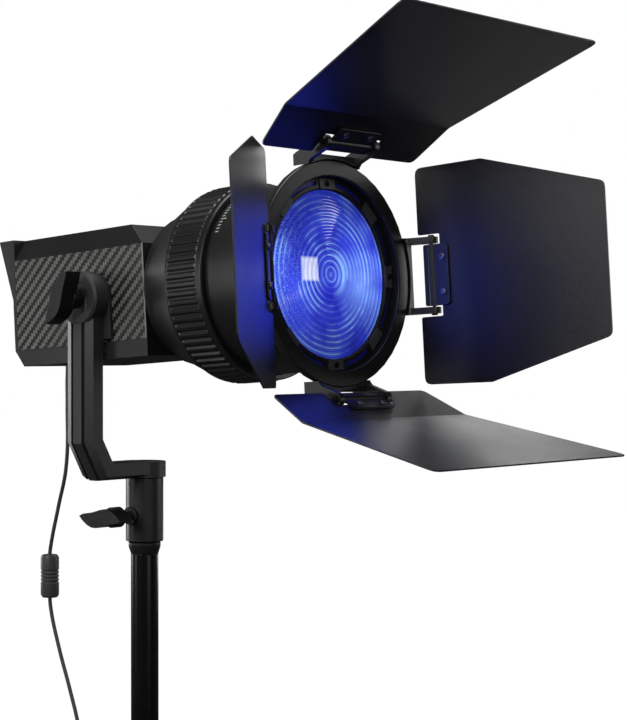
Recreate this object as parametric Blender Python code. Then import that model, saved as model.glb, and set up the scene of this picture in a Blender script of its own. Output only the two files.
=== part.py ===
"""A small LED fresnel spotlight: single-arm yoke on a stand post, zoom lens barrel and four barn doors.

Metres, +Z up, light towards -Y. The origin is the centre of the stand post's lower end face. The head hangs
on the yoke arm's pivot and points a few degrees up. Run with: blender --background --python part.py
"""

import math

import bmesh
import bpy
from mathutils import Matrix, Vector

# ---- driving dimensions -------------------------------------------------------------------------

GAP = 0.0003  # between pieces that touch
EPS = 0.002  # how far a cutter runs past the face it opens

POST_RADIUS = 0.00975
POST_WALL = 0.0015
SOCKET_MOUTH_Z = 0.190
SOCKET_RADIUS = 0.0133
SPIGOT_RADIUS = 0.0079
SOCKET_KNOB_Z = 0.2085
FOOT_BOTTOM_Z = 0.236
PIVOT_Z = 0.360
ARM_INNER_X = -0.0513
ARM_THICKNESS = 0.0117
ARM_HALF_WIDTH = 0.013
ARM_DISC_RADIUS = 0.0185

HEAD_X = 0.0022  # the head's mid-plane, almost over the post
HEAD_FORWARD = 0.0140  # the head's own axes lie ahead of the tilt pivot and below it
HEAD_DROP = 0.0022
HEAD_TILT = math.radians(3.7)

HOUSING_HALF_WIDTH = 0.050
HOUSING_TOP = 0.0510
HOUSING_BOTTOM = -0.040
HOUSING_FRONT = 0.0365
HOUSING_WALL = 0.0025
SHOULDER_HEIGHT = 0.036  # where the top chamfers start
SHOULDER_HALF_WIDTH = 0.039
ROOF_FRONT = 0.015  # where the roof starts to slope down to the front
PANEL_BOTTOM = -0.0285
PANEL_REAR = -0.096
REAR_FACE = -0.0995
VISOR_REAR = -0.112
REAR_BEND_HEIGHT = 0.008

AXIS_HEIGHT = 0.005  # optical axis above the head's axes
LIGHT_OPENING = 0.029  # in the housing's front face, which the cone's back plate closes round it
CONE_REAR_RADIUS = 0.052
CONE_FRONT_RADIUS = 0.065
CONE_FRONT = 0.071
ZOOM_RADIUS = 0.0665
ZOOM_FRONT = 0.105
ZOOM_RIBS = 72
ZOOM_GROOVE_DEPTH = 0.0014
# shares of the rib pitch: one sloping side, and the flat top
RIB_SLOPE = 0.20
RIB_TOP = 0.36
RIB_END_SLOPE = 0.0008
BARREL_RADIUS = 0.062
BARREL_REAR = 0.0975
BARREL_SHOULDER = 0.1502
GUIDE_INNER_RADIUS = 0.0570  # fixed tube inside the barrel
GUIDE_OUTER_RADIUS = 0.0594
GUIDE_FRONT = 0.122  # stays behind the barrel's seat when the lens is fully back
GLASS_RADIUS = 0.055
GLASS_EDGE = 0.156
FLANGE_RADIUS = 0.0735
FLANGE_INNER_RADIUS = 0.063
FLANGE_FRONT = 0.1643

HINGE_RADIUS = 0.0815  # barn-door hinge line from the optical axis
HINGE_FORWARD = 0.1785
EAR_OFFSET = 0.0236
EAR_THICKNESS = 0.0042
PIN_RADIUS = 0.0012
SHEET = 0.001
WIDE_BEND = math.radians(15.7)

# each door: turn of its hinge round the optical axis, opening from straight ahead, wide or narrow leaf
DOORS = {
    "top": (0, 36.5, "wide"),
    "right": (90, 6.5, "narrow"),
    "bottom": (180, 31.0, "wide"),
    "left": (270, 55.5, "narrow"),
}

KNOB_HALF_LENGTH = 0.0208
KNOB_HALF_WIDTH = 0.006
KNOB_DEPTH = 0.013
KNOB_HUB = 0.006

# ---- modelling helpers --------------------------------------------------------------------------

BEAM = Matrix.Rotation(math.radians(90), 4, "X")  # turned pieces: their height runs forwards
ACROSS = Matrix.Rotation(math.radians(-90), 4, "Y")  # turned pieces: their height runs towards -X
# outlines drawn as (forward, up), extruded across the head
SIDE = Matrix(((0, 0, -1, 0), (-1, 0, 0, 0), (0, 1, 0, 0), (0, 0, 0, 1)))


def clear_scene():
    for thing in list(bpy.data.objects):
        bpy.data.objects.remove(thing, do_unlink=True)


def material(name, colour, roughness, metallic=0.0):
    made = bpy.data.materials.new(name)
    made.use_nodes = True
    made.diffuse_color = (*colour, 1.0)
    shader = made.node_tree.nodes["Principled BSDF"]
    shader.inputs["Base Color"].default_value = (*colour, 1.0)
    shader.inputs["Roughness"].default_value = roughness
    shader.inputs["Metallic"].default_value = metallic
    return made


def empty(name, parent=None, location=(0, 0, 0), rotation=(0, 0, 0)):
    made = bpy.data.objects.new(name, None)
    bpy.context.collection.objects.link(made)
    made.parent = parent
    made.location = location
    made.rotation_euler = rotation
    return made


def piece(name, shape, finish=None, parent=None, location=(0, 0, 0), rotation=(0, 0, 0)):
    """Turns a bmesh into a named object; round surfaces shade smooth and hard edges stay sharp."""
    mesh = bpy.data.meshes.new(name)
    bmesh.ops.recalc_face_normals(shape, faces=shape.faces)
    if shape.calc_volume(signed=True) < 0:
        bmesh.ops.reverse_faces(shape, faces=shape.faces)
    shape.to_mesh(mesh)
    shape.free()
    if finish:
        mesh.materials.append(finish)
    mesh.shade_smooth()
    mesh.set_sharp_from_angle(angle=math.radians(30))
    made = bpy.data.objects.new(name, mesh)
    bpy.context.collection.objects.link(made)
    made.parent = parent
    made.location = location
    made.rotation_euler = rotation
    return made


def boolean(target, shape, operation="DIFFERENCE"):
    """Cuts, joins or intersects a piece with a shape in the piece's own axes, or with another object."""
    is_object = isinstance(shape, bpy.types.Object)
    tool = shape if is_object else piece(f"{target.name}_tool", shape, parent=target)
    tool.hide_render = True
    tool.display_type = "WIRE"
    step = target.modifiers.new(operation.title(), "BOOLEAN")
    step.operation = operation
    step.solver = "EXACT"
    step.object = tool
    return target


def prism(outline, low, high, matrix=None):
    """A closed outline in the XY plane, extruded from height low to high."""
    shape = bmesh.new()
    face = shape.faces.new([shape.verts.new((x, y, low)) for x, y in outline])
    grown = bmesh.ops.extrude_face_region(shape, geom=[face])
    moved = [v for v in grown["geom"] if isinstance(v, bmesh.types.BMVert)]
    bmesh.ops.translate(shape, verts=moved, vec=(0, 0, high - low))
    if matrix:
        shape.transform(matrix)
    return shape


def block(low, high):
    """A box between two corners."""
    (x0, y0, z0), (x1, y1, z1) = low, high
    return prism([(x0, y0), (x1, y0), (x1, y1), (x0, y1)], z0, z1)


def turned(profile, steps, matrix=None):
    """A solid of revolution about Z from a closed outline of (radius, height) points."""
    shape = bmesh.new()
    rings = []
    for radius, height in profile:
        if radius == 0:
            rings.append([shape.verts.new((0, 0, height))] * steps)
            continue
        turns = [2 * math.pi * k / steps for k in range(steps)]
        rings.append(
            [shape.verts.new((radius * math.cos(t), radius * math.sin(t), height)) for t in turns]
        )
    for ring, following in zip(rings, rings[1:] + rings[:1]):
        if ring[0] is ring[1] and following[0] is following[1]:
            continue
        for k in range(steps):
            n = (k + 1) % steps
            corners = [ring[k], ring[n], following[n], following[k]]
            shape.faces.new(list(dict.fromkeys(corners)))
    if matrix:
        shape.transform(matrix)
    return shape


def rod(radius, low, high, steps=24, matrix=None):
    return turned([(0, low), (radius, low), (radius, high), (0, high)], steps, matrix)


def tube(inner, outer, low, high, steps=48, matrix=None):
    return turned([(inner, low), (outer, low), (outer, high), (inner, high)], steps, matrix)


def arc(centre, radius, start, end, steps):
    """Points along an arc, angles in degrees."""
    turns = [math.radians(start + (end - start) * k / steps) for k in range(steps + 1)]
    return [(centre[0] + radius * math.cos(t), centre[1] + radius * math.sin(t)) for t in turns]


def rounded(corners, steps=3):
    """An outline with its corners (x, y, radius) rounded off."""
    points = []
    for i, (x, y, radius) in enumerate(corners):
        here = Vector((x, y))
        if radius == 0:
            points.append((x, y))
            continue
        before = (Vector(corners[i - 1][:2]) - here).normalized()
        after = (Vector(corners[(i + 1) % len(corners)][:2]) - here).normalized()
        reach = radius / math.tan(before.angle(after) / 2)
        for k in range(steps + 1):
            t = k / steps
            start = here + before * reach
            end = here + after * reach
            curve = start * (1 - t) ** 2 + here * 2 * t * (1 - t) + end * t**2
            points.append(tuple(curve))
    return points


def swept(path, section):
    """A bar along a bent path in the XZ plane. The section is (sideways y, depth to the path's left)."""
    shape = bmesh.new()
    path = [Vector(p) for p in path]
    rings = []
    for i, here in enumerate(path):
        ahead = (path[min(i + 1, len(path) - 1)] - path[min(i, len(path) - 2)]).normalized()
        behind = (path[max(i, 1)] - path[max(i - 1, 0)]).normalized()
        left_ahead = Vector((-ahead.y, ahead.x))
        left_behind = Vector((-behind.y, behind.x))
        mitre = (left_ahead + left_behind).normalized()
        mitre /= mitre.dot(left_ahead)
        ring = []
        for sideways, depth in section:
            at = here + mitre * depth
            ring.append(shape.verts.new((at.x, sideways, at.y)))
        rings.append(ring)
    count = len(section)
    for ring, following in zip(rings, rings[1:]):
        for k in range(count):
            n = (k + 1) % count
            shape.faces.new([ring[k], ring[n], following[n], following[k]])
    shape.faces.new(rings[0])
    shape.faces.new(rings[-1])
    return shape


# ---- materials ----------------------------------------------------------------------------------


def finishes():
    return {
        "black": material("satin_black", (0.022, 0.022, 0.023), 0.45, 0.3),
        "plastic": material("black_plastic", (0.025, 0.025, 0.026), 0.5),
        "sheet": material("black_sheet", (0.012, 0.012, 0.014), 0.55, 0.4),
        "weave": material("carbon_weave", (0.10, 0.095, 0.09), 0.35),
        "rubber": material("cable_rubber", (0.02, 0.02, 0.02), 0.6),
        "steel": material("steel", (0.45, 0.45, 0.46), 0.3, 1.0),
        "alloy": material("heat_sink_alloy", (0.5, 0.5, 0.52), 0.4, 1.0),
        "glass": material("lens_glass", (0.05, 0.07, 0.8), 0.05),
        "emitter": material("led_emitter", (0.1, 0.12, 0.9), 0.3),
        "board": material("circuit_board", (0.02, 0.12, 0.05), 0.5),
        "screen": material("display_window", (0.01, 0.01, 0.012), 0.1),
    }


# ---- stand post ---------------------------------------------------------------------------------


def stand_post(f):
    """The stand's top riser with its end plug, and the collar and spigot that the socket drops on."""
    bore = POST_RADIUS - POST_WALL
    plug = [
        (0, 0), (POST_RADIUS, 0), (POST_RADIUS, 0.003),
        (bore - GAP, 0.003), (bore - GAP, 0.012), (0, 0.012),
    ]
    piece("post_end_plug", turned(plug, 24), f["plastic"])
    tube_top = SOCKET_MOUTH_Z - 0.009
    piece("post_tube", tube(bore, POST_RADIUS, 0.003 + GAP, tube_top, 24), f["black"])

    collar = SOCKET_MOUTH_Z - GAP
    stud = [
        (0, tube_top - 0.020),
        (bore - GAP, tube_top - 0.020),
        (bore - GAP, tube_top + GAP),
        (POST_RADIUS, tube_top + GAP),
        (0.0114, collar - 0.0035),
        (0.0114, collar - 0.0008),
        (0.0106, collar),
        (SPIGOT_RADIUS, collar),
        (SPIGOT_RADIUS, SOCKET_KNOB_Z - 0.006),
        (SPIGOT_RADIUS - 0.0015, SOCKET_KNOB_Z - 0.0045),
        (SPIGOT_RADIUS - 0.0015, SOCKET_KNOB_Z + 0.0045),
        (SPIGOT_RADIUS, SOCKET_KNOB_Z + 0.006),
        (SPIGOT_RADIUS, SOCKET_MOUTH_Z + 0.035),
        (SPIGOT_RADIUS - 0.001, SOCKET_MOUTH_Z + 0.036),
        (0, SOCKET_MOUTH_Z + 0.036),
    ]
    piece("spigot_stud", turned(stud, 20), f["black"])


# ---- wing knobs ---------------------------------------------------------------------------------


def wing_outline(points=10):
    """The S-shaped bar of a wing knob: pointed ends, one belly on each side."""
    upper = []
    for k in range(points):
        u = -1 + 2 * k / points
        half = KNOB_HALF_WIDTH * (1 - u * u) ** 0.8
        shift = 0.0014 * math.sin(2 * math.pi * u / 1.6)
        upper.append((u * KNOB_HALF_LENGTH, half + shift))
    lower = [(-x, -y) for x, y in upper]
    return upper + lower


def wing_knob(name, f, parent, stem, stud_radius, stud_reach):
    """A wing knob about the parent's local Z, which points away from the lamp.

    stem is the bare stud's length.
    """
    base = stem
    hub = rod(0.0072, base, base + KNOB_HUB + 0.002, 24)
    wings = prism(wing_outline(), base + KNOB_HUB, base + KNOB_HUB + KNOB_DEPTH)
    knob = piece(name, wings, f["plastic"], parent)
    boolean(knob, hub, "UNION")
    boolean(knob, rod(stud_radius + GAP, base - EPS, base + KNOB_HUB + 0.006, 16))
    shank = rod(stud_radius, -stud_reach, base + KNOB_HUB + 0.005, 16)
    piece(f"{name}_stud", shank, f["steel"], parent)
    return knob


# ---- yoke ---------------------------------------------------------------------------------------


def yoke(f):
    """One bent arm with a pivot disc on top and a foot over the post, and the socket under the foot."""
    outer = ARM_INNER_X - ARM_THICKNESS
    foot_top = FOOT_BOTTOM_Z + ARM_THICKNESS - 0.001
    path = [
        (outer, PIVOT_Z),
        (outer, FOOT_BOTTOM_Z + 0.0249),
        (-0.0485, FOOT_BOTTOM_Z - 0.001),
        (0.0, FOOT_BOTTOM_Z - 0.001),
    ]
    flat, groove, edge = 0.004, 0.007, ARM_HALF_WIDTH
    floor, drop = 0.0022, 0.0029
    half = [(flat, 0), (flat, floor), (groove, floor), (groove, 0.0006), (edge, drop), (edge, ARM_THICKNESS)]
    section = half + [(-y, depth) for y, depth in reversed(half)]
    arm = piece("yoke_arm", swept(path, section), f["black"])
    disc = turned(
        [
            (0, -ARM_INNER_X),
            (ARM_DISC_RADIUS, -ARM_INNER_X),
            (ARM_DISC_RADIUS, -outer - 0.0012),
            (ARM_DISC_RADIUS - 0.0015, -outer + 0.0003),
            (0.0115, -outer + 0.0003),
            (0.0105, -outer - 0.0012),
            (0, -outer - 0.0012),
        ],
        32,
        Matrix.Translation((0, 0, PIVOT_Z)) @ ACROSS,
    )
    boolean(arm, disc, "UNION")
    boolean(arm, rod(0.015, FOOT_BOTTOM_Z - 0.0006, foot_top - 0.0003, 28), "UNION")
    boolean(arm, rod(0.0033, FOOT_BOTTOM_Z - EPS - 0.001, foot_top + EPS, 20))
    boolean(arm, rod(0.0055, foot_top - 0.0035, foot_top + EPS, 24))
    at_pivot = Matrix.Translation((0, 0, PIVOT_Z)) @ ACROSS
    boolean(arm, rod(0.0033, -ARM_INNER_X - EPS, -outer + EPS, 20, at_pivot))

    top = FOOT_BOTTOM_Z - 0.001 - GAP
    socket = piece(
        "yoke_socket",
        turned(
            [
                (SPIGOT_RADIUS + GAP, SOCKET_MOUTH_Z),
                (SOCKET_RADIUS - 0.0006, SOCKET_MOUTH_Z),
                (SOCKET_RADIUS, SOCKET_MOUTH_Z + 0.0006),
                (SOCKET_RADIUS, top),
                (0, top),
                (0, SOCKET_MOUTH_Z + 0.0365),
                (SPIGOT_RADIUS + GAP, SOCKET_MOUTH_Z + 0.0365),
            ],
            28,
        ),
        f["black"],
    )
    at_knob = Matrix.Translation((0, 0, SOCKET_KNOB_Z)) @ ACROSS
    boolean(socket, rod(0.0065, SOCKET_RADIUS - 0.003, SOCKET_RADIUS + 0.0015, 24, at_knob), "UNION")
    boolean(socket, rod(0.0033, SPIGOT_RADIUS - EPS, SOCKET_RADIUS + 0.004, 20, at_knob))
    boolean(socket, rod(0.0028, top - 0.0075, top + EPS, 16))

    screw = [
        (0, top - 0.006),
        (0.0025, top - 0.006),
        (0.0025, foot_top - 0.0032),
        (0.0050, foot_top - 0.0032),
        (0.0050, foot_top - 0.0008),
        (0.0045, foot_top - 0.0003),
        (0, foot_top - 0.0003),
    ]
    piece("foot_screw", turned(screw, 16), f["steel"])

    socket_axis = empty("socket_knob_axis", None, (0, 0, SOCKET_KNOB_Z), (0, math.radians(-90), 0))
    knob = empty("socket_knob_turn", socket_axis, (0, 0, SOCKET_RADIUS + 0.0020), (0, 0, math.radians(90)))
    wing_knob("socket_knob", f, knob, 0.009, 0.003, SOCKET_RADIUS + 0.0020 - SPIGOT_RADIUS - 0.0007)

    pivot_axis = empty("tilt_knob_axis", None, (outer - 0.0007, 0, PIVOT_Z), (0, math.radians(-90), 0))
    turn = empty("tilt_knob_turn", pivot_axis, (0, 0, 0), (0, 0, math.radians(-28.5)))
    wing_knob("tilt_knob", f, turn, 0, 0.003, ARM_THICKNESS + 0.0007 + 0.0065)


# ---- head housing -------------------------------------------------------------------------------


def housing_solid(name, profile, half_width, shoulder_half_width, shoulder, top, bottom, finish, head):
    """A side profile extruded across the head and trimmed by the housing's chamfered cross-section."""
    made = piece(name, prism(profile, -half_width - EPS, half_width + EPS, SIDE), finish, head)
    section = [
        (half_width, bottom - EPS),
        (half_width, shoulder),
        (shoulder_half_width, top),
        (shoulder_half_width - (top - shoulder), top + EPS),
        (-shoulder_half_width + (top - shoulder), top + EPS),
        (-shoulder_half_width, top),
        (-half_width, shoulder),
        (-half_width, bottom - EPS),
    ]
    boolean(made, prism(section, -0.2, 0.2, BEAM), "INTERSECT")
    return made


def panel_recess(side):
    low = HOUSING_HALF_WIDTH - 0.0013
    rear, front = -PANEL_REAR + EPS, -(HOUSING_FRONT - 0.0012)
    x0, x1 = sorted((side * low, side * (HOUSING_HALF_WIDTH + EPS)))
    return block((x0, front, PANEL_BOTTOM), (x1, rear, SHOULDER_HEIGHT))


def housing(f, head):
    """The shell, its full-width rear cap, the woven side panels and the tilt bracket."""
    front, wall = HOUSING_FRONT, HOUSING_WALL
    seam_low = -0.088
    profile = [
        (front, HOUSING_BOTTOM),
        (front, SHOULDER_HEIGHT),
        (ROOF_FRONT, HOUSING_TOP),
        (PANEL_REAR, HOUSING_TOP),
        (PANEL_REAR, PANEL_BOTTOM),
        (seam_low, HOUSING_BOTTOM),
    ]
    shell = housing_solid(
        "housing_shell", profile, HOUSING_HALF_WIDTH, SHOULDER_HALF_WIDTH, SHOULDER_HEIGHT,
        HOUSING_TOP, HOUSING_BOTTOM, f["black"], head,
    )
    cavity_top, cavity_low = HOUSING_TOP - wall, HOUSING_BOTTOM + wall
    inner_width = HOUSING_HALF_WIDTH - wall - 0.0005
    inside = [
        (front - wall, cavity_low),
        (front - wall, SHOULDER_HEIGHT - 0.0015),
        (ROOF_FRONT - 0.0015, cavity_top),
        (-0.084, cavity_top),
        (PANEL_REAR - EPS, SHOULDER_HEIGHT - 0.006),
        (PANEL_REAR - EPS, cavity_low),
    ]
    cavity = housing_solid(
        "housing_cavity", inside, inner_width, SHOULDER_HALF_WIDTH - 0.0013, SHOULDER_HEIGHT - 0.0013,
        cavity_top, cavity_low, f["black"], head,
    )
    boolean(shell, cavity)
    for side in (-1, 1):
        boolean(shell, panel_recess(side))
    at_axis = Matrix.Translation((0, 0, AXIS_HEIGHT)) @ BEAM
    boolean(shell, rod(LIGHT_OPENING, front - wall - EPS, front + EPS, 48, at_axis))
    for k in range(6):
        y = 0.020 + 0.009 * k
        boolean(shell, block((-0.028, y, HOUSING_BOTTOM - EPS), (0.028, y + 0.004, cavity_low + EPS)))

    # the cap's hood keeps the full width up to the roof, past the shell's chamfers
    cap_side = [
        (PANEL_REAR - GAP, HOUSING_TOP),
        (VISOR_REAR, HOUSING_TOP),
        (REAR_FACE, REAR_BEND_HEIGHT),
        (REAR_FACE, PANEL_BOTTOM),
        (-0.0905, HOUSING_BOTTOM),
        (seam_low - GAP, HOUSING_BOTTOM),
        (PANEL_REAR - GAP, PANEL_BOTTOM),
    ]
    cap = piece("rear_cap", prism(cap_side, -HOUSING_HALF_WIDTH, HOUSING_HALF_WIDTH, SIDE), f["black"], head)
    for side, label in ((-1, "left"), (1, "right")):
        x0, x1 = sorted((side * (HOUSING_HALF_WIDTH - 0.001), side * HOUSING_HALF_WIDTH))
        low = (x0, -(HOUSING_FRONT - 0.0015), PANEL_BOTTOM + GAP)
        high = (x1, -PANEL_REAR, SHOULDER_HEIGHT - GAP)
        panel = piece(f"side_panel_{label}", block(low, high), f["weave"], head)
        if side < 0:
            at_pivot = Matrix.Translation((0, HEAD_FORWARD, HEAD_DROP)) @ ACROSS
            hole = rod(0.0063, HOUSING_HALF_WIDTH - 0.004, HOUSING_HALF_WIDTH + EPS, 24, at_pivot)
            boolean(panel, hole)
            boolean(shell, rod(0.0063, HOUSING_HALF_WIDTH - 0.006, HOUSING_HALF_WIDTH + EPS, 24, at_pivot))

    pivot = Matrix.Translation((0, HEAD_FORWARD, HEAD_DROP)) @ ACROSS
    bracket_outer = -(ARM_INNER_X - HEAD_X) - GAP
    bracket_inner = HOUSING_HALF_WIDTH + GAP
    width = ARM_DISC_RADIUS - 0.0004
    low = PANEL_BOTTOM + 0.002
    outline = arc((-HEAD_FORWARD, HEAD_DROP), width, 0, 180, 16)
    outline += [(-HEAD_FORWARD - width, low), (-HEAD_FORWARD + width, low)]
    bracket = piece("tilt_bracket", prism(outline, bracket_inner, bracket_outer, SIDE), f["plastic"], head)
    boolean(bracket, rod(0.006, HOUSING_HALF_WIDTH - 0.0045, bracket_inner + 0.001, 24, pivot), "UNION")
    boolean(bracket, rod(0.0033, HOUSING_HALF_WIDTH - 0.0045 - EPS, bracket_outer + EPS, 20, pivot))

    latch_x = HOUSING_HALF_WIDTH + GAP
    latch = block((latch_x, -0.029, -0.038), (latch_x + 0.003, -0.015, -0.031))
    piece("mount_latch", latch, f["plastic"], head)
    return cap


# ---- rear controls ------------------------------------------------------------------------------


def controls(f, head, cap):
    """Display, two dials, three push buttons, power rocker and the DC inlet with its plug."""
    slope_angle = -math.atan2(REAR_FACE - VISOR_REAR, HOUSING_TOP - REAR_BEND_HEIGHT)
    slope_y = -(REAR_FACE + VISOR_REAR) / 2
    slope_z = (REAR_BEND_HEIGHT + HOUSING_TOP) / 2
    slope = empty("rear_slope", head, (0, slope_y, slope_z), (slope_angle, 0, 0))
    slope_matrix = Matrix.Translation((0, slope_y, slope_z)) @ Matrix.Rotation(slope_angle, 4, "X")

    window = ((-0.040, -0.0007, -0.013), (0.010, 0.0004, 0.013))
    pocket = block((-0.0403, -0.001, -0.0133), (0.0103, 0.004, 0.0133))
    pocket.transform(slope_matrix)
    boolean(cap, pocket)
    piece("display_window", block(*window), f["screen"], slope)

    button_radius = 0.003
    backwards = Matrix.Rotation(math.radians(-90), 4, "X")
    for k in range(3):
        x = 0.019 + 0.009 * k
        spot = Matrix.Translation((x, 0, 0)) @ backwards
        boolean(cap, rod(button_radius + GAP, -0.0026, 0.004, 20, slope_matrix @ spot))
        cap_shape = turned(
            [
                (0, -0.0012), (button_radius, -0.0012), (button_radius, 0.0006),
                (button_radius - 0.0004, 0.001), (0, 0.001),
            ],
            20, backwards,
        )
        piece(f"push_button_{k + 1}", cap_shape, f["plastic"], slope, (x, 0, 0))

    rear = -REAR_FACE
    for x, label in ((-0.031, "dimmer_dial"), (-0.009, "colour_dial")):
        spot = Matrix.Translation((x, rear, -0.0105)) @ backwards
        boolean(cap, rod(0.0026, -0.0022, 0.002, 16, spot))
        outline = [
            (0.0078 + (0.0004 if k % 2 else 0), math.radians(360 / 32 * k)) for k in range(32)
        ]
        grip = [(r * math.cos(t), r * math.sin(t)) for r, t in outline]
        dial = piece(label, prism(grip, 0.0006, 0.0095, backwards), f["plastic"], head, (x, rear, -0.0105))
        boolean(dial, rod(0.0022, -0.0018, 0.002, 16, backwards), "UNION")

    rocker_x = 0.0135
    boolean(cap, block((rocker_x - 0.0055, rear - 0.0022, -0.0195), (rocker_x + 0.0055, rear + EPS, -0.0015)))
    rocker_side = [(-0.0072, -0.0002), (0.0072, -0.0002), (0.0078, 0.0022), (0, 0.0012), (-0.0078, 0.0008)]
    rocker = prism([(z, y) for z, y in rocker_side], -0.0048, 0.0048)
    # outline (height, rearwards) -> head axes
    rocker.transform(Matrix(((0, 0, 1, 0), (0, 1, 0, 0), (1, 0, 0, 0), (0, 0, 0, 1))))
    piece("power_switch", rocker, f["plastic"], head, (rocker_x, rear - 0.0008, -0.0105))

    inlet = (0.036, rear, -0.012)
    inlet_matrix = Matrix.Translation(inlet) @ backwards
    boolean(cap, rod(0.0063, -0.008, 0.004, 24, inlet_matrix))
    socket_profile = [
        (0.0032, 0.0008), (0.0032, -0.0010), (0, -0.0010), (0, -0.0024), (0.006, -0.0024), (0.006, 0.0008),
    ]
    piece("dc_socket", turned(list(reversed(socket_profile)), 16, backwards), f["plastic"], head, inlet)
    plug_profile = [
        (0, -0.0006), (0.0028, -0.0006), (0.0028, 0.0012), (0.0052, 0.0012), (0.0052, 0.014),
        (0.0040, 0.0155), (0.0030, 0.022), (0, 0.022),
    ]
    piece("dc_plug", turned(plug_profile, 16, backwards), f["rubber"], head, inlet)


# ---- light engine -------------------------------------------------------------------------------


def light_engine(f, head):
    """LED board and emitter on a finned heat sink, with a fan and the driver board behind it."""
    centre = AXIS_HEIGHT
    emitter_front = 0.028
    emitter = rod(0.009, emitter_front - 0.0012, emitter_front, 32, BEAM)
    piece("led_emitter", emitter, f["emitter"], head, (0, 0, centre))
    board_front = emitter_front - 0.0012 - GAP
    board = block((-0.020, -board_front, -0.020), (0.020, -board_front + 0.002, 0.020))
    piece("led_board", board, f["alloy"], head, (0, 0, centre))
    sink_front = board_front - 0.002 - GAP
    base, fins, depth = 0.006, 11, 0.034
    comb = [(-0.036, 0)]
    pitch = 0.072 / (2 * fins - 1)
    for k in range(2 * fins - 1):
        x0 = -0.036 + pitch * k
        tip = depth if k % 2 == 0 else base
        comb += [(x0, tip), (x0 + pitch, tip)]
    comb += [(0.036, 0)]
    sink = prism([(x, y) for x, y in comb], -0.032, 0.032)
    piece("heat_sink", sink, f["alloy"], head, (0, -sink_front, centre))

    fan_front = sink_front - depth - 0.001
    fan_depth = 0.015
    square = block((-0.030, -fan_front, -0.030), (0.030, -fan_front + fan_depth, 0.030))
    frame = piece("fan_frame", square, f["plastic"], head, (0, 0, centre))
    well = rod(0.0285, fan_front - fan_depth + 0.0015, fan_front + EPS, 40, BEAM)
    boolean(frame, well)
    for quarter in range(4):
        vent = prism(
            arc((0, 0), 0.027, 8, 82, 6) + arc((0, 0), 0.013, 82, 8, 4),
            fan_front - fan_depth - EPS, fan_front - fan_depth + 0.003,
            BEAM @ Matrix.Rotation(math.radians(90 * quarter), 4, "Z"),
        )
        boolean(frame, vent)
    hub_back = fan_front - fan_depth + 0.0015 + 0.0012
    hub = rod(0.011, hub_back, fan_front - 0.0008, 24, BEAM)
    rotor = piece("fan_rotor", hub, f["plastic"], head, (0, 0, centre))
    for k in range(7):
        pitched = Matrix.Translation((0.0185, 0, 0)) @ Matrix.Rotation(math.radians(35), 4, "X")
        turn = Matrix.Rotation(2 * math.pi * k / 7, 4, "Z") @ pitched
        blade = block((-0.0085, -0.0006, -0.0055), (0.0085, 0.0006, 0.0055))
        blade.transform(BEAM @ Matrix.Translation((0, 0, (hub_back + fan_front) / 2)) @ turn)
        boolean(rotor, blade, "UNION")

    board = piece("driver_board", block((-0.040, 0.036, -0.0295), (0.040, 0.086, -0.0279)), f["board"], head)
    for low, high in (
        ((-0.034, 0.042, -0.0285), (-0.016, 0.060, -0.013)),
        ((-0.006, 0.044, -0.0285), (0.008, 0.058, -0.019)),
        ((0.016, 0.040, -0.0285), (0.034, 0.066, -0.021)),
        ((-0.030, 0.068, -0.0285), (0.012, 0.080, -0.024)),
    ):
        boolean(board, block(low, high), "UNION")


# ---- zoom lens ----------------------------------------------------------------------------------


def zoom_ring_shape():
    """Ribs with flat tops and sloping sides and ends, between a narrow rim behind and a wider one in front."""
    rear, front = CONE_FRONT + GAP, ZOOM_FRONT
    ribs_rear, ribs_front = rear + 0.0022, front - 0.0050
    rim, groove = ZOOM_RADIUS - 0.0006, ZOOM_RADIUS - ZOOM_GROOVE_DEPTH
    # each station: forward, radius between the ribs, radius on the ribs
    stations = [
        (rear, rim - 0.0005, rim - 0.0005),
        (rear + 0.0005, rim, rim),
        (ribs_rear, rim, rim),
        (ribs_rear + RIB_END_SLOPE, groove, ZOOM_RADIUS),
        (ribs_front - RIB_END_SLOPE, groove, ZOOM_RADIUS),
        (ribs_front, rim, rim),
        (front - 0.0008, rim, rim),
        (front, rim - 0.0008, rim - 0.0008),
        (front, 0.0624, 0.0624),
        (rear + 0.0012, 0.0624, 0.0624),
        (rear + 0.0012, 0.0600, 0.0600),
        (rear, 0.0600, 0.0600),
    ]
    shape = bmesh.new()
    loops = []
    for forward, between, on_rib in stations:
        rib = (
            (between, 0),
            (on_rib, RIB_SLOPE),
            (on_rib, RIB_SLOPE + RIB_TOP),
            (between, 2 * RIB_SLOPE + RIB_TOP),
        )
        loop = []
        for k in range(ZOOM_RIBS):
            for radius, share in rib:
                turn = 2 * math.pi * (k + share) / ZOOM_RIBS
                loop.append(shape.verts.new((radius * math.cos(turn), -forward, radius * math.sin(turn))))
        loops.append(loop)
    count = len(loops[0])
    for here, onward in zip(loops, loops[1:] + loops[:1]):
        for k in range(count):
            after = (k + 1) % count
            shape.faces.new((here[k], here[after], onward[after], onward[k]))
    bmesh.ops.recalc_face_normals(shape, faces=shape.faces)
    return shape


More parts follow.
